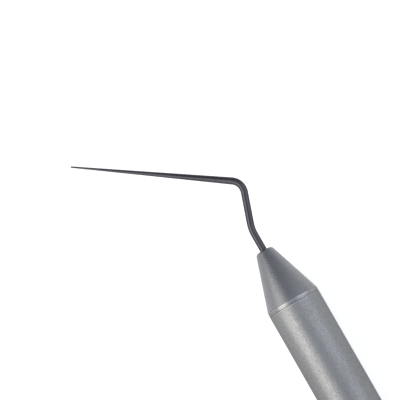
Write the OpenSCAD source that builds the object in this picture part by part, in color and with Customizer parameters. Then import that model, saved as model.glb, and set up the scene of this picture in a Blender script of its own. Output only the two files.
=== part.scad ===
// Hand scriber with a bent needle point, a screw-in nose and a hollow satin handle.
// The handle lies along X with the point at +X, and Z is up. The origin is on the
// handle's axis, at the middle of the tube. The tool lies as it rests on a table: on its
// tube and on the very tip of its point, with the table at z = -handle_d / 2.

/* [Handle] */
// Outside diameter of the tube, the shoulder ring, the nose's base and the end plug
handle_d = 9.5; // [8.5:0.1:10]
// Length of the tube
tube_length = 104; // [80:1:120]
// Wall thickness of the tube
tube_wall = 0.9; // [0.7:0.05:1]
// Chamfer on each outer edge that meets a neighbour, which leaves a fine groove at a seam
edge_break = 0.08; // [0.03:0.01:0.1]

/* [Nose] */
// Length of the nose's cone
cone_length = 9.9; // [8:0.05:14]
// Diameter of the cone's front face, measured before its edge is rounded
cone_front_d = 3.05; // [2.6:0.05:4]
// Radius of the rounded edge of the cone's front face
cone_edge_r = 0.65; // [0.1:0.05:0.8]
// Length of the polished ring between the nose and the tube
ring_length = 0.7; // [0.5:0.05:1.5]

/* [Nose thread] */
// Nominal diameter of the right-hand thread that holds the nose
thread_d = 6; // [5:0.5:6]
// Pitch of that thread
thread_pitch = 0.75; // [0.5:0.25:1]
// Length of the threaded bush
bush_length = 7; // [5:0.5:9]
// Length of the smooth pilot that centres the nose in the ring and the tube
pilot_length = 2.2; // [1.8:0.1:2.6]
// Running clearance all round the pilot and the thread
thread_gap = 0.05; // [0.02:0.01:0.08]

/* [Point] */
// Diameter of the rod that the point is bent from
rod_d = 1.25; // [0.9:0.05:1.6]
// Length of the rod pressed into the nose
tang_length = 9; // [6:0.5:12]
// From the nose's front face to the corner of the first bend
shank_reach = 4.2; // [3.5:0.1:8]
// Angle between the leg and the handle's axis
leg_angle = 19.35; // [10:0.05:30]
// From the corner of the first bend to the corner of the second
leg_length = 8.2; // [6.5:0.1:12]
// Angle between the needle and the handle's axis, on the other side of the axis
needle_angle = 54.65; // [45:0.05:80]
// From the corner of the second bend to the tip
needle_length = 30.5; // [20:0.1:40]
// Radius of the rounded tip
tip_r = 0.13; // [0.05:0.01:0.2]
// Radius of the first bend, along the rod's middle
first_bend_r = 6.5; // [3:0.5:10]
// Radius of the second bend, along the rod's middle
second_bend_r = 2.4; // [1.5:0.1:4]

/* [End plug] */
// Length of the plug's rounded end, behind its land
dome_length = 6; // [4:0.5:10]
// Diameter of the flat face that ends the handle
end_face_d = 4.4; // [3:0.1:6]
// Length of the plug inside the tube
plug_depth = 8; // [5:0.5:12]

/* [Hidden] */
handle_r = handle_d / 2;
bore_r = handle_r - tube_wall;
rod_r = rod_d / 2;
round_fn = 96;       // facets of a turned part
arc_steps = 6;       // points on a small rounded edge
dome_steps = 14;     // points on the plug's rounded end
bend_lap = 0.03;     // how far a bend runs into the straight at each end
bend_inset = 0.002;  // how much thinner a bend is, so the two skins never coincide
lead_in = 0.4;       // chamfer on the end of a spigot
groove_length = 0.8; // thread run-out groove behind the pilot
thread_h = 0.6495;   // depth of a metric thread as a share of its pitch
pitch_r = (thread_d - thread_h * thread_pitch) / 2;
groove_r = thread_d / 2 - thread_pitch;

tube_front = tube_length / 2;
tube_rear = -tube_length / 2;
cone_base = tube_front + ring_length;
cone_front = cone_base + cone_length;
pilot_end = cone_base - pilot_length;
bush_front = pilot_end - 0.2;
bush_rear = bush_front - bush_length;
spigot_end = bush_rear - 0.4;

knee_angle = leg_angle + needle_angle;
first_tangent = first_bend_r * tan(leg_angle / 2);
second_tangent = second_bend_r * tan(knee_angle / 2);
tip_offset = (needle_length - tip_r) * sin(needle_angle) - leg_length * sin(leg_angle);
// Roll about the handle's axis that brings the tip down to the table
droop = asin((handle_r - tip_r) / tip_offset);

// Points on an arc about [r, x], from angle a to angle b
function arc(r, x, radius, a, b, steps) =
    [for (i = [0 : steps]) let (t = a + (b - a) * i / steps) [r + radius * cos(t), x + radius * sin(t)]];

// A part turned on the handle's axis, from an outline of [radius, x] points
module turned(outline) {
    rotate([0, 90, 0]) rotate_extrude($fn = round_fn) polygon(outline);
}

module handle_tube() {
    color("silver") turned([
        [bore_r, tube_rear],
        [handle_r - edge_break, tube_rear],
        [handle_r, tube_rear + edge_break],
        [handle_r, tube_front - edge_break],
        [handle_r - edge_break, tube_front],
        [bore_r, tube_front],
    ]);
}

module thread_bush() {
    thread_wall_r = pitch_r + thread_gap;
    color("gainsboro") turned([
        [thread_wall_r, bush_rear + lead_in],
        [thread_wall_r + lead_in, bush_rear],
        [bore_r, bush_rear],
        [bore_r, bush_front],
        [thread_wall_r + lead_in, bush_front],
        [thread_wall_r, bush_front - lead_in],
    ]);
}

module end_plug() {
    land_rear = tube_rear - ring_length;
    face_r = end_face_d / 2;
    face_x = land_rear - dome_length;
    // The rounded end is a quarter ellipse from the land to the edge of the flat face
    dome = [for (i = [1 : dome_steps]) let (t = 90 * i / dome_steps)
        [face_r + (handle_r - edge_break - face_r) * cos(t), land_rear - dome_length * sin(t)]];
    color("silver") turned(concat(
        [
            [0, tube_rear + plug_depth],
            [bore_r - lead_in, tube_rear + plug_depth],
            [bore_r, tube_rear + plug_depth - lead_in],
            [bore_r, tube_rear],
            [handle_r - edge_break, tube_rear],
            [handle_r, tube_rear - edge_break],
            [handle_r, land_rear + edge_break],
            [handle_r - edge_break, land_rear],
        ],
        dome,
        [[0, face_x]]
    ));
}

module shoulder_ring() {
    color("whitesmoke") turned([
        [bore_r, tube_front],
        [handle_r - edge_break, tube_front],
        [handle_r, tube_front + edge_break],
        [handle_r, cone_base - edge_break],
        [handle_r - edge_break, cone_base],
        [bore_r, cone_base],
    ]);
}

module nose_cone() {
    cone_slope = atan((handle_r - cone_front_d / 2) / cone_length);
    pilot_r = bore_r - thread_gap;
    // Middle of the front edge's rounding, which touches the face and the cone's side
    round_x = cone_front - cone_edge_r;
    round_r = cone_front_d / 2 - cone_edge_r * (1 - sin(cone_slope)) / cos(cone_slope);
    color("darkgray") turned(concat(
        [
            [0, spigot_end],
            [pitch_r - lead_in, spigot_end],
            [pitch_r, spigot_end + lead_in],
            [pitch_r, pilot_end - groove_length],
            [groove_r, pilot_end - groove_length],
            [groove_r, pilot_end],
            [pilot_r - edge_break, pilot_end],
            [pilot_r, pilot_end + edge_break],
            [pilot_r, cone_base],
            [handle_r - edge_break, cone_base],
            [handle_r, cone_base + edge_break],
        ],
        arc(round_r, round_x, cone_edge_r, cone_slope, 90, arc_steps),
        [
            [rod_r, cone_front],
            [rod_r, cone_front - tang_length],
            [0, cone_front - tang_length],
        ]
    ));
}

// A straight stretch of the point's rod, from the origin along +X
module rod(length) {
    rotate([0, 90, 0]) cylinder(h = length, r = rod_r, $fn = 48);
}

// A bend of the rod that starts along +X and turns towards +Y, or towards -Y if turn is -1
module bend(angle, radius, turn) {
    lap = bend_lap / radius * 180 / PI;
    rotate([turn < 0 ? 180 : 0, 0, 0])
        translate([0, radius, 0])
            rotate([0, 0, -90 - lap])
                rotate_extrude(angle = angle + 2 * lap, $fn = round_fn)
                    translate([radius, 0]) circle(r = rod_r - bend_inset, $fn = 48);
}

// Moves what follows a bend to its far end
module after_bend(angle, radius, turn) {
    translate([radius * sin(angle), turn * radius * (1 - cos(angle)), 0])
        rotate([0, 0, turn * angle])
            children();
}

// The needle: a long straight taper with a rounded tip, from the origin along +X
module needle(length) {
    taper = atan((rod_r - tip_r) / length);
    rotate([0, 90, 0]) rotate_extrude($fn = 48) polygon(concat(
        [[0, 0], [rod_r, 0]],
        arc(0, length - tip_r, tip_r, taper, 90, arc_steps)
    ));
}

module point() {
    shank_straight = shank_reach - first_tangent;
    leg_straight = leg_length - first_tangent - second_tangent;
    color("dimgray")
        translate([cone_front, 0, 0]) rotate([-droop, 0, 0]) {
            translate([-tang_length, 0, 0]) rod(tang_length + shank_straight);
            translate([shank_straight, 0, 0]) {
                bend(leg_angle, first_bend_r, -1);
                after_bend(leg_angle, first_bend_r, -1) {
                    rod(leg_straight);
                    translate([leg_straight, 0, 0]) {
                        bend(knee_angle, second_bend_r, 1);
                        after_bend(knee_angle, second_bend_r, 1)
                            needle(needle_length - second_tangent);
                    }
                }
            }
        }
}

handle_tube();
thread_bush();
end_plug();
shoulder_ring();
nose_cone();
point();
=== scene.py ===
"""The scriber's looks, in metres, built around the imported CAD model.

The handle lies along X with the needle at +X, and it rests on the floor. Every visible part is a
finely turned or swept mesh that takes its place from the CAD model's own boxes.
"""
import math

import bmesh
import bpy
from mathutils import Matrix, Vector


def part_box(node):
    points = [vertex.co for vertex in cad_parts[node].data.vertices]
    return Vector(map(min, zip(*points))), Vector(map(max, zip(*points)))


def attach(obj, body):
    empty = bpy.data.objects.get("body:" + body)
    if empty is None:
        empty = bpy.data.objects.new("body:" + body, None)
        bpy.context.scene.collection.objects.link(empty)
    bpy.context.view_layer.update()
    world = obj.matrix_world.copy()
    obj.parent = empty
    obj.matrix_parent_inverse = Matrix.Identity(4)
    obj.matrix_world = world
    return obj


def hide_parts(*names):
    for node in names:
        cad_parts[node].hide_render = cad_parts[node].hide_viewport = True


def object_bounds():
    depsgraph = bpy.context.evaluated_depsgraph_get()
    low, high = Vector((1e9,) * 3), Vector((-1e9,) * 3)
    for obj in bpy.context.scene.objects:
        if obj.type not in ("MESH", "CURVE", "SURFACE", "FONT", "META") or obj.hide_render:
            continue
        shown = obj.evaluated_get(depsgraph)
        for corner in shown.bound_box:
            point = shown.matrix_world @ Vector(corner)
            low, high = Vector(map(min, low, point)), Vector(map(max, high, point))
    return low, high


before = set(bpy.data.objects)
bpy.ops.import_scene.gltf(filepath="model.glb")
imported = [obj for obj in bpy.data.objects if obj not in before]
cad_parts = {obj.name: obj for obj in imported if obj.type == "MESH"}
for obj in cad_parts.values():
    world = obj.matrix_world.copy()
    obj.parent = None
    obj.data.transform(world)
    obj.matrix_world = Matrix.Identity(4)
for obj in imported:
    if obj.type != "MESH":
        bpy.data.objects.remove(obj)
cad_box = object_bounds()

MM = 0.001
TURN = 2 * math.pi

# ---------------------------------------------------------------- sizes and places, in millimetres
FACETS = 192             # facets round a turned part
ROD_FACETS = 48          # facets round the rod
SHARP = math.radians(32)  # an edge that turns by more than this is shaded as sharp
TIP_STEPS = 8            # rows on the rod's rounded tip
WALL = 0.9               # the tube's wall
RING_WAIST = 0.03        # how far the shoulder ring is dished round its middle
EDGE_R = 0.08            # rounding where a part meets its neighbour at a seam
THREAD_PITCH = 0.75
THREAD_R = 2.98          # crest of the nose's thread
THREAD_ROOT_R = 2.53
THREAD_FLANK = 2.6       # rise of the thread's sides, in thread depths a pitch
THREAD_GAP = 0.05        # difference in radius of the two threads, and of the pilot and its bore
GROOVE_R = 2.25          # thread run-out groove
GROOVE_LENGTH = 0.8
PILOT_LENGTH = 2.2
LEAD_IN = 0.4            # chamfer on the end of a spigot
SEAT_GAP = 0.005         # a hair between the ring and the nose, whose faces turn on each other
CONE_FRONT_R = 1.525
CONE_EDGE_R = 0.65
ROD_R = 0.625
TIP_R = 0.13
TANG_LENGTH = 9.0
SHANK_REACH = 4.2        # nose face to the first bend's corner
LEG_ANGLE = math.radians(19.35)
LEG_LENGTH = 8.2         # first corner to second corner
NEEDLE_ANGLE = math.radians(54.65)
NEEDLE_LENGTH = 30.5     # second corner to the tip
FIRST_BEND_R = 6.5
SECOND_BEND_R = 2.4
END_FACE_R = 2.2
MOUTH = 0.05             # chamfer round the rod's hole in the nose
NOSE_DARK_REFLECTION = 0.16         # from the cone's front face back to the painted dark reflection round its edge
DIMPLE = 0.2             # size of the dimples in blasted steel
LIGHT_RISE_LENGTH = 17.0       # the tube's front, over which painted light grows brighter towards the nose
LIGHT_RISE_GAIN = 1.12         # how much brighter the painted light gets
PAINTED_DARK = (0.06, 0.06, 0.058)     # painted shade in a seam, also used as the painted dark reflection round the nose's front
PAINTED_HIGHLIGHT = (0.42, 0.42, 0.41)     # a painted highlight along an edge


def span(node):
    """The lowest and highest x of a CAD node, in millimetres."""
    low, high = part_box(node)
    return low.x / MM, high.x / MM


TUBE_REAR, TUBE_FRONT = span("handle_tube")
HANDLE_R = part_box("handle_tube")[1].z / MM
CONE_BASE = span("shoulder_ring")[1]
SPIGOT_END, CONE_FRONT = span("nose_cone")
BUSH_REAR, BUSH_FRONT = span("thread_bush")
PLUG_REAR, PLUG_FRONT = span("end_plug")
BORE_R = HANDLE_R - WALL
RING_LENGTH = CONE_BASE - TUBE_FRONT


# ---------------------------------------------------------------- mesh tools
def arc(r, x, radius, start, end, steps=8):
    """Outline points round (r, x), from one angle to another in degrees. 0 points outwards, 90 forwards."""
    points = []
    for i in range(steps + 1):
        a = math.radians(start + (end - start) * i / steps)
        points.append((r + radius * math.cos(a), x + radius * math.sin(a)))
    return points


def finish_mesh(name, bm):
    """Welds a bmesh, splits its shading at the sharp edges and links it as an object."""
    bmesh.ops.remove_doubles(bm, verts=bm.verts, dist=1e-8)
    bmesh.ops.dissolve_degenerate(bm, edges=bm.edges, dist=1e-8)
    bmesh.ops.recalc_face_normals(bm, faces=bm.faces)
    for face in bm.faces:
        face.smooth = True
    for edge in bm.edges:
        if len(edge.link_faces) == 2 and edge.calc_face_angle() > SHARP:
            edge.smooth = False
    mesh = bpy.data.meshes.new(name)
    bm.to_mesh(mesh)
    bm.free()
    piece = bpy.data.objects.new(name, mesh)
    bpy.context.scene.collection.objects.link(piece)
    return piece


def skin(name, rows, columns, place):
    """A closed skin over rows of points. place(row, share) gives a point at a share of the way round."""
    bm = bmesh.new()
    grid = [[bm.verts.new(place(row, c / columns)) for c in range(columns + 1)] for row in rows]
    for near, far in zip(grid, grid[1:]):
        for c in range(columns):
            bm.faces.new((near[c], near[c + 1], far[c + 1], far[c]))
    return finish_mesh(name, bm)


def turned(name, rows):
    """A part turned on the handle's axis. A row is an (r, x) point, or a function that gives one for each
    share of a turn."""
    def place(row, share):
        r, x = row(share) if callable(row) else row
        return Vector((x, r * math.cos(TURN * share), r * math.sin(TURN * share))) * MM
    return skin(name, rows, FACETS, place)


def thread_rows(start, end, root_r, crest_r, end_r, steps=12):
    """Rows of a right-hand thread from x = start to end. Each row climbs one pitch a turn, and the
    thread fades to end_r over its first and last half pitch."""
    lift = crest_r - root_r
    direction = 1 if end > start else -1
    length = abs(end - start)

    def row(k):
        def at(share):
            run = (k / steps + direction * share) * THREAD_PITCH
            inside = min(max(run, 0), length)
            phase = (k / steps) % 1
            height = min(max(0.5 + THREAD_FLANK * (0.25 - abs(phase - 0.5)), 0), 1)
            fade = min(inside, length - inside) / (THREAD_PITCH / 2)
            fade = min(max(fade, 0), 1)
            return end_r + (root_r + lift * height - end_r) * fade, start + direction * inside
        return at

    turns = math.ceil(length / THREAD_PITCH) + 1
    return [row(k) for k in range(-steps, turns * steps + 1)]


# ---------------------------------------------------------------- materials
def shader(name, colour, roughness, metallic=1.0, edge=0.6):
    """A new material. Returns it with its node tree and its shader node."""
    material = bpy.data.materials.new(name)
    material.use_nodes = True
    tree = material.node_tree
    bsdf = tree.nodes["Principled BSDF"]
    bsdf.inputs["Base Color"].default_value = (*colour, 1)
    bsdf.inputs["Metallic"].default_value = metallic
    bsdf.inputs["Roughness"].default_value = roughness
    bsdf.inputs["Specular Tint"].default_value = (edge, edge, edge, 1)
    return material, tree, bsdf


def object_coordinates(tree, stretch=(1, 1, 1)):
    """Coordinates on the part itself, stretched by a factor on each axis."""
    coordinates = tree.nodes.new("ShaderNodeTexCoord")
    mapping = tree.nodes.new("ShaderNodeMapping")
    mapping.inputs["Scale"].default_value = stretch
    tree.links.new(coordinates.outputs["Object"], mapping.inputs["Vector"])
    return mapping.outputs["Vector"]


def component(tree, vector, axis):
    """One axis of a vector."""
    split = tree.nodes.new("ShaderNodeSeparateXYZ")
    tree.links.new(vector, split.inputs["Vector"])
    return split.outputs[axis]


def noise(tree, vector, grain_mm, detail=3.0):
    """Noise whose lumps are about grain_mm across."""
    node = tree.nodes.new("ShaderNodeTexNoise")
    node.inputs["Scale"].default_value = 1 / (grain_mm * MM)
    node.inputs["Detail"].default_value = detail
    node.inputs["Roughness"].default_value = 0.55
    tree.links.new(vector, node.inputs["Vector"])
    return node.outputs["Fac"]


def remap(tree, value, low, high, to_low, to_high):
    """The value, carried from one range to another and held inside it."""
    node = tree.nodes.new("ShaderNodeMapRange")
    for socket, number in zip(("From Min", "From Max", "To Min", "To Max"), (low, high, to_low, to_high)):
        node.inputs[socket].default_value = number
    tree.links.new(value, node.inputs["Value"])
    return node.outputs["Result"]


def spread(tree, value, low, high):
    """Noise, which keeps mostly between 0.3 and 0.7, carried to the range from low to high."""
    return remap(tree, value, 0.3, 0.7, low, high)


def reckon(tree, operation, *values):
    """The result of a sum on values, each a number or another node's output."""
    node = tree.nodes.new("ShaderNodeMath")
    node.operation = operation
    for socket, value in zip(node.inputs, values):
        if isinstance(value, (int, float)):
            socket.default_value = value
        else:
            tree.links.new(value, socket)
    return node.outputs["Value"]


def tinted(tree, factor, start, end):
    """A colour between start and end. Each is a plain colour or another node's output."""
    node = tree.nodes.new("ShaderNodeMix")
    node.data_type = "RGBA"
    for socket, colour in (("A", start), ("B", end)):
        if isinstance(colour, tuple):
            node.inputs[socket].default_value = (*colour, 1)
        else:
            tree.links.new(colour, node.inputs[socket])
    tree.links.new(factor, node.inputs["Factor"])
    return node.outputs["Result"]


def bump(tree, bsdf, height, depth_mm, under=None):
    """Relief of the given depth on the shader, on top of an earlier relief if there is one."""
    node = tree.nodes.new("ShaderNodeBump")
    node.inputs["Distance"].default_value = depth_mm * MM
    tree.links.new(height, node.inputs["Height"])
    if under is not None:
        tree.links.new(under, node.inputs["Normal"])
    tree.links.new(node.outputs["Normal"], bsdf.inputs["Normal"])
    return node.outputs["Normal"]


def seam_distance(tree, seams):
    """Distance along the handle, in metres, to the nearest seam. The seams are places in millimetres."""
    place = component(tree, object_coordinates(tree), "X")
    nearest = None
    for seam in seams:
        distance = reckon(tree, "ABSOLUTE", reckon(tree, "SUBTRACT", place, seam * MM))
        nearest = distance if nearest is None else reckon(tree, "MINIMUM", nearest, distance)
    return nearest


def edge_tone(tree, colour, places, tone, reach_mm, rag_mm):
    """Lays a tone over the colour within about reach of the places along the handle. It fades out between
    0.6 and 1.2 times the reach, along a ragged line."""
    wander = noise(tree, object_coordinates(tree), 0.5)
    distance = reckon(tree, "MULTIPLY_ADD", wander, rag_mm * MM, seam_distance(tree, places))
    near = remap(tree, distance, 0.6 * reach_mm * MM, 1.2 * reach_mm * MM, 1, 0)
    return tinted(tree, near, colour, tone)


def painted_light_rise(tree, colour, start, end, gain):
    """The colour with painted light, which grows brighter from start to end along the handle, up to gain
    times.
    """
    place = component(tree, object_coordinates(tree), "X")
    node = tree.nodes.new("ShaderNodeVectorMath")
    node.operation = "SCALE"
    tree.links.new(colour, node.inputs["Vector"])
    tree.links.new(remap(tree, place, start * MM, end * MM, 1, gain), node.inputs["Scale"])
    return node.outputs["Vector"]


def blasted_steel(name, dark, light, roughness, glint, depth_mm, edge=0.6, highlight_places=(), dark_places=()):
    """Bead-blasted steel: dimples, a fine grain and a slow change of sheen. glint is how far the roughness
    strays from dimple to dimple. The highlight places get a painted highlight along their edges, and the
    dark
    places get painted darkening: painted shade where they are seams, and a painted dark reflection behind
    the nose's front face. Both are given as places along the handle. A part with highlight places also gets
    painted light that grows brighter towards its front."""
    material, tree, bsdf = shader(name, light, roughness, edge=edge)
    where = object_coordinates(tree)
    dimples = tree.nodes.new("ShaderNodeTexVoronoi")
    dimples.inputs["Scale"].default_value = 1 / (DIMPLE * MM)
    tree.links.new(where, dimples.inputs["Vector"])
    grain = noise(tree, where, DIMPLE)
    patches = noise(tree, where, 6.0, detail=2.0)
    colour = tinted(tree, spread(tree, grain, 0, 1), dark, light)
    if highlight_places:
        # painted light, growing brighter towards the tube's front
        colour = painted_light_rise(tree, colour, TUBE_FRONT - LIGHT_RISE_LENGTH, TUBE_FRONT, LIGHT_RISE_GAIN)
        # a painted highlight along the edges at the given places
        colour = edge_tone(tree, colour, highlight_places, PAINTED_HIGHLIGHT, reach_mm=0.22, rag_mm=0.1)
    if dark_places:
        # painted shade in the seams, and a painted dark reflection behind the nose's front face
        colour = edge_tone(tree, colour, dark_places, PAINTED_DARK, reach_mm=0.075, rag_mm=0.02)
    tree.links.new(colour, bsdf.inputs["Base Color"])
    slow = spread(tree, patches, roughness - 0.03, roughness + 0.03)
    quick = spread(tree, noise(tree, where, DIMPLE, detail=1.0), glint, -glint)
    tree.links.new(reckon(tree, "ADD", slow, quick), bsdf.inputs["Roughness"])
    relief = bump(tree, bsdf, dimples.outputs["Distance"], depth_mm / 3)
    bump(tree, bsdf, grain, depth_mm, relief)
    return material


def turned_steel(name, dark, light, roughness, line_mm, depth_mm, highlight_places=(), dark_places=()):
    """Steel as it leaves the lathe: fine rings round the axis, a painted highlight along the edges at the
    highlight places and painted shade in the seams.
    """
    material, tree, bsdf = shader(name, light, roughness)
    rings = noise(tree, object_coordinates(tree, (1, 0.02, 0.02)), line_mm)
    colour = tinted(tree, spread(tree, rings, 0, 1), dark, light)
    if highlight_places:
        # a painted highlight along the edges at the given places
        colour = edge_tone(tree, colour, highlight_places, PAINTED_HIGHLIGHT, reach_mm=0.17, rag_mm=0.05)
    if dark_places:
        # painted shade in the seam
        colour = edge_tone(tree, colour, dark_places, PAINTED_DARK, reach_mm=0.095, rag_mm=0.02)
    tree.links.new(colour, bsdf.inputs["Base Color"])
    uneven = spread(tree, rings, roughness - 0.05, roughness + 0.05)
    tree.links.new(uneven, bsdf.inputs["Roughness"])
    bump(tree, bsdf, rings, depth_mm)
    return material


def rod_steel(name, dark, light, polished, ground):
    """Dark oxidised steel, faintly scratched. Its roughness is polished near the nose and ground beyond the
    second bend, where the rod is ground to its taper."""
    material, tree, bsdf = shader(name, light, polished)
    where = object_coordinates(tree)
    fine = noise(tree, where, 0.12, detail=2.0)
    patches = noise(tree, where, 2.5)
    colour = tinted(tree, spread(tree, patches, 0, 1), dark, light)
    tree.links.new(colour, bsdf.inputs["Base Color"])
    place = component(tree, where, "X")
    second_bend = CONE_FRONT + SHANK_REACH + LEG_LENGTH
    dull = remap(tree, place, (second_bend - 2) * MM, second_bend * MM, polished, ground)
    scratches = spread(tree, fine, -0.04, 0.04)
    tree.links.new(reckon(tree, "ADD", dull, scratches), bsdf.inputs["Roughness"])
    bump(tree, bsdf, fine, 0.001)
    return material


def floor_material():
    """A plain, pale light table: matt, and softly lit from below."""
    material, tree, bsdf = shader("light_table", (0.45, 0.45, 0.45), 0.9, metallic=0.0)
    bsdf.inputs["Specular IOR Level"].default_value = 0.1
    bsdf.inputs["Emission Color"].default_value = (0.985, 0.99, 1, 1)
    bsdf.inputs["Emission Strength"].default_value = 0.7
    return material


# ---------------------------------------------------------------- the parts
def dress(piece, material, body, node):
    """Gives a part its material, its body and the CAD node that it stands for."""
    piece.data.materials.append(material)
    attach(piece, body)
    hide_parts(node)


def tube():
    """The hollow handle, open at both ends."""
    outer = HANDLE_R - EDGE_R
    rows = [(BORE_R, TUBE_REAR)]
    rows += arc(outer, TUBE_REAR + EDGE_R, EDGE_R, -90, 0)
    rows += arc(outer, TUBE_FRONT - EDGE_R, EDGE_R, 0, 90)
    rows += [(BORE_R, TUBE_FRONT), (BORE_R, TUBE_REAR)]
    return turned("tube_shell", rows)


def ring():
    """The polished shoulder ring, with a shallow waist round its middle."""
    outer = HANDLE_R - EDGE_R
    front = CONE_BASE - SEAT_GAP
    steps = 12
    waist_start = TUBE_FRONT + EDGE_R
    waist_length = RING_LENGTH - 2 * EDGE_R
    waist = []
    for i in range(1, steps):
        dip = RING_WAIST * math.sin(math.pi * i / steps) ** 2
        waist.append((HANDLE_R - dip, waist_start + waist_length * i / steps))
    rows = [(BORE_R, TUBE_FRONT)]
    rows += arc(outer, TUBE_FRONT + EDGE_R, EDGE_R, -90, 0)
    rows += waist
    rows += arc(outer, front - EDGE_R, EDGE_R, 0, 90)
    rows += [(BORE_R, front), (BORE_R, TUBE_FRONT)]
    return turned("shoulder_ring_polished", rows)


def nose():
    """The nose: threaded spigot, run-out groove, pilot, cone and the bore that holds the needle's tang."""
    pilot_end = CONE_BASE - PILOT_LENGTH
    pilot_r = BORE_R - THREAD_GAP
    slope = math.atan((HANDLE_R - CONE_FRONT_R) / (CONE_FRONT - CONE_BASE))
    round_r = CONE_FRONT_R - CONE_EDGE_R * (1 - math.sin(slope)) / math.cos(slope)
    rows = [(0, SPIGOT_END), (THREAD_ROOT_R - 0.1, SPIGOT_END)]
    rows += thread_rows(SPIGOT_END + 0.1, pilot_end - GROOVE_LENGTH, THREAD_ROOT_R, THREAD_R, THREAD_ROOT_R)
    rows += [(GROOVE_R, pilot_end - GROOVE_LENGTH + 0.2), (GROOVE_R, pilot_end)]
    rows += arc(pilot_r - EDGE_R, pilot_end + EDGE_R, EDGE_R, -90, 0)
    rows += [(pilot_r, CONE_BASE)]
    rows += arc(HANDLE_R - EDGE_R, CONE_BASE + EDGE_R, EDGE_R, -90, math.degrees(slope))
    rows += arc(round_r, CONE_FRONT - CONE_EDGE_R, CONE_EDGE_R, math.degrees(slope), 90, steps=12)
    rows += [(ROD_R + MOUTH, CONE_FRONT), (ROD_R, CONE_FRONT - MOUTH)]
    rows += [(ROD_R, CONE_FRONT - TANG_LENGTH), (0, CONE_FRONT - TANG_LENGTH)]
    return turned("nose_body", rows)


def bush():
    """The threaded bush, pressed into the tube. Known fault: its thread is 0.175 mm out of step with the
    nose's, so the two overlap wherever they are engaged."""
    root = THREAD_R + THREAD_GAP
    crest = THREAD_ROOT_R + THREAD_GAP
    rows = [(root, BUSH_REAR), (BORE_R, BUSH_REAR), (BORE_R, BUSH_FRONT), (root, BUSH_FRONT)]
    rows += thread_rows(BUSH_FRONT, BUSH_REAR, root, crest, root)
    return turned("bush_threaded", rows)


def plug():
    """The rear plug: a land that matches the shoulder ring and a rounded end with a small flat."""
    outer = HANDLE_R - EDGE_R
    land_rear = TUBE_REAR - RING_LENGTH
    dome_length = land_rear - PLUG_REAR
    steps = 40
    rows = [(0, PLUG_FRONT), (BORE_R - LEAD_IN, PLUG_FRONT)]
    rows += [(BORE_R, PLUG_FRONT - LEAD_IN), (BORE_R, TUBE_REAR)]
    rows += arc(outer, TUBE_REAR - EDGE_R, EDGE_R, 90, 0)
    rows += arc(outer, land_rear + EDGE_R, EDGE_R, 0, -90)
    for i in range(1, steps + 1):
        a = math.pi / 2 * i / steps
        r = END_FACE_R + (outer - END_FACE_R) * math.cos(a)
        rows.append((r, land_rear - dome_length * math.sin(a)))
    rows += [(0, PLUG_REAR)]
    return turned("rear_plug", rows)


def needle_path():
    """Stations of the rod as (u, v, heading, radius), with u along the axis from the nose's face and v
    towards the needle's side."""
    turn = LEG_ANGLE + NEEDLE_ANGLE
    first = FIRST_BEND_R * math.tan(LEG_ANGLE / 2)
    second = SECOND_BEND_R * math.tan(turn / 2)
    stations = []
    u = -TANG_LENGTH
    v = 0.0
    heading = 0.0

    def straight(length, steps, end_r=ROD_R):
        nonlocal u, v
        start_r = stations[-1][3] if stations else ROD_R
        for i in range(1, steps + 1):
            u += length / steps * math.cos(heading)
            v += length / steps * math.sin(heading)
            stations.append((u, v, heading, start_r + (end_r - start_r) * i / steps))

    def bend(radius, angle, steps):
        nonlocal u, v, heading
        chord = 2 * radius * math.sin(abs(angle) / steps / 2)
        for _ in range(steps):
            heading += angle / steps / 2
            u += chord * math.cos(heading)
            v += chord * math.sin(heading)
            heading += angle / steps / 2
            stations.append((u, v, heading, ROD_R))

    stations.append((u, v, heading, 0.0))
    stations.append((u, v, heading, ROD_R))
    straight(TANG_LENGTH + SHANK_REACH - first, 40)
    bend(FIRST_BEND_R, -LEG_ANGLE, 16)
    straight(LEG_LENGTH - first - second, 16)
    bend(SECOND_BEND_R, turn, 32)
    straight(NEEDLE_LENGTH - second - TIP_R, 96, TIP_R)
    for i in range(1, TIP_STEPS + 1):
        a = math.pi / 2 * i / TIP_STEPS
        tip_u = u + TIP_R * math.sin(a) * math.cos(heading)
        tip_v = v + TIP_R * math.sin(a) * math.sin(heading)
        stations.append((tip_u, tip_v, heading, TIP_R * math.cos(a)))
    return stations


def needle():
    """The rod, bent twice and tapered to its tip, rolled about the axis until the tip meets the floor."""
    stations = needle_path()
    tip_v = stations[-1 - TIP_STEPS][1]
    droop = math.asin((HANDLE_R - TIP_R) / tip_v)
    roll = Matrix.Rotation(-droop, 3, "X")

    def place(station, share):
        u, v, heading, r = station
        across = r * math.cos(TURN * share)
        point = Vector((
            CONE_FRONT + u - across * math.sin(heading),
            v + across * math.cos(heading),
            r * math.sin(TURN * share),
        ))
        return roll @ point * MM

    return skin("needle_point", stations, ROD_FACETS, place)


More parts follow.
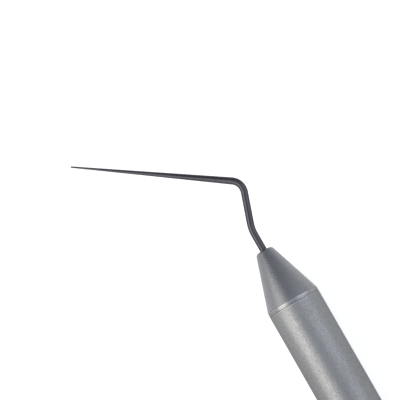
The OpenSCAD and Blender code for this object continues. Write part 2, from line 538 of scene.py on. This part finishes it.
def parts():
    """Every visible part of the scriber."""
    # the tube gets painted shade and painted highlights at its seams, and painted light towards its front
    satin = blasted_steel(
        "satin_steel", (0.183, 0.184, 0.188), (0.242, 0.242, 0.238), roughness=0.44, glint=0.12,
        depth_mm=0.035, highlight_places=(TUBE_FRONT, TUBE_REAR), dark_places=(TUBE_FRONT, TUBE_REAR),
    )
    # the nose gets a painted dark reflection behind its front face
    fine_satin = blasted_steel(
        "fine_satin_steel", (0.19, 0.193, 0.2), (0.245, 0.245, 0.248), roughness=0.36, glint=0.09,
        depth_mm=0.024, edge=1.0, dark_places=(CONE_FRONT - NOSE_DARK_REFLECTION,),
    )
    # the ring gets painted highlights along its edges and painted shade in its rear seam
    polished = turned_steel(
        "polished_steel", (0.2, 0.202, 0.208), (0.26, 0.262, 0.266), roughness=0.32, line_mm=0.05,
        depth_mm=0.002, highlight_places=(TUBE_FRONT, CONE_BASE), dark_places=(TUBE_FRONT,),
    )
    machined = turned_steel(
        "machined_steel", (0.35, 0.35, 0.35), (0.5, 0.5, 0.5), roughness=0.3, line_mm=0.08, depth_mm=0.003,
    )
    drawn = rod_steel(
        "dark_rod_steel", (0.052, 0.05, 0.057), (0.068, 0.066, 0.073), polished=0.14, ground=0.42,
    )
    dress(tube(), satin, "handle", "handle_tube")
    dress(bush(), machined, "handle", "thread_bush")
    dress(plug(), satin, "handle", "end_plug")
    dress(ring(), polished, "ring", "shoulder_ring")
    dress(nose(), fine_satin, "nose", "nose_cone")
    dress(needle(), drawn, "nose", "point")


# ---------------------------------------------------------------- stage, camera and light
VIEW_WIDTH = 67.9        # width of the picture at the handle's axis
LEAN = math.radians(7)   # the camera leans this far towards the handle's rear
ROLL = math.radians(119.75)  # from the picture's right round to the handle's direction
LENS = 300.0
SENSOR = 36.0
LIGHT_REACH = 0.6        # metres from the handle's axis to each softbox
LIGHT_REAR = -0.5        # metres from the nose's seam to the rear end of each softbox
FLOOR_SIZE = 3.0         # metres across
along = Vector((math.cos(LEAN), 0, math.sin(LEAN)))
aside = Vector((0, 1, 0))
back = Vector((-math.sin(LEAN), 0, math.cos(LEAN)))
AIM = Vector((CONE_FRONT, 0, 0)) + 12.82 * along + 5.14 * aside  # the middle of the picture


def camera():
    """A long lens, nearly overhead, with the handle running to the lower right."""
    data = bpy.data.cameras.new("camera")
    data.sensor_width = SENSOR
    data.lens = LENS
    data.clip_end = 10
    view = bpy.data.objects.new("camera", data)
    right = math.cos(ROLL) * along - math.sin(ROLL) * aside
    up = back.cross(right)
    turn = Matrix((right, up, back)).transposed().to_4x4()
    distance = VIEW_WIDTH * LENS / SENSOR
    view.matrix_world = Matrix.Translation((AIM + distance * back) * MM) @ turn
    bpy.context.scene.collection.objects.link(view)
    bpy.context.scene.camera = view


def floor():
    """A wide pale card under the tool."""
    bm = bmesh.new()
    bmesh.ops.create_grid(bm, x_segments=8, y_segments=8, size=FLOOR_SIZE / 2)
    mesh = bpy.data.meshes.new("floor_card")
    bm.to_mesh(mesh)
    bm.free()
    card = bpy.data.objects.new("floor_card", mesh)
    card.location = (0, 0, cad_box[0][2])
    card.data.materials.append(floor_material())
    bpy.context.scene.collection.objects.link(card)


def softbox(name, side, width, front, radiance, colour):
    """An even rectangular light that runs along the tool, as far as front metres ahead of the nose's seam.
    It hangs LIGHT_REACH from the axis, side degrees from overhead towards the needle's side."""
    data = bpy.data.lights.new(name, "AREA")
    data.shape = "RECTANGLE"
    data.size = front - LIGHT_REAR
    data.size_y = width
    data.energy = radiance * math.pi * data.size * data.size_y
    data.color = colour
    away = Vector((0, math.sin(math.radians(side)), math.cos(math.radians(side))))
    run = Vector((1, 0, 0))
    turn = Matrix((run, away.cross(run), away)).transposed().to_4x4()
    middle = Vector((CONE_BASE * MM + (LIGHT_REAR + front) / 2, 0, 0)) + away * LIGHT_REACH
    light = bpy.data.objects.new(name, data)
    light.matrix_world = Matrix.Translation(middle) @ turn
    bpy.context.scene.collection.objects.link(light)


def lighting():
    """A surround that is pale at the horizon and dimmer above, and three long softboxes: a strong key on
    the needle's side, a wide weaker fill opposite and a faint one overhead."""
    world = bpy.data.worlds.new("studio")
    world.use_nodes = True
    tree = world.node_tree
    outwards = tree.nodes.new("ShaderNodeTexCoord").outputs["Generated"]
    height = remap(tree, component(tree, outwards, "Z"), 0.0, 0.3, 0, 1)
    sky = tinted(tree, height, (0.9, 0.91, 0.93), (0.405, 0.441, 0.504))
    tree.links.new(sky, tree.nodes["Background"].inputs["Color"])
    bpy.context.scene.world = world
    softbox("key", side=50, width=0.5, front=0.4, radiance=2.9, colour=(1.0, 0.97, 0.93))
    softbox("fill", side=-48, width=0.6, front=0.3, radiance=1.4, colour=(0.93, 0.98, 1.06))
    softbox("top", side=0, width=0.44, front=0.28, radiance=0.5, colour=(0.92, 0.98, 1.1))


camera()
parts()
floor()
lighting()
bpy.context.scene.view_settings.view_transform = "Standard"
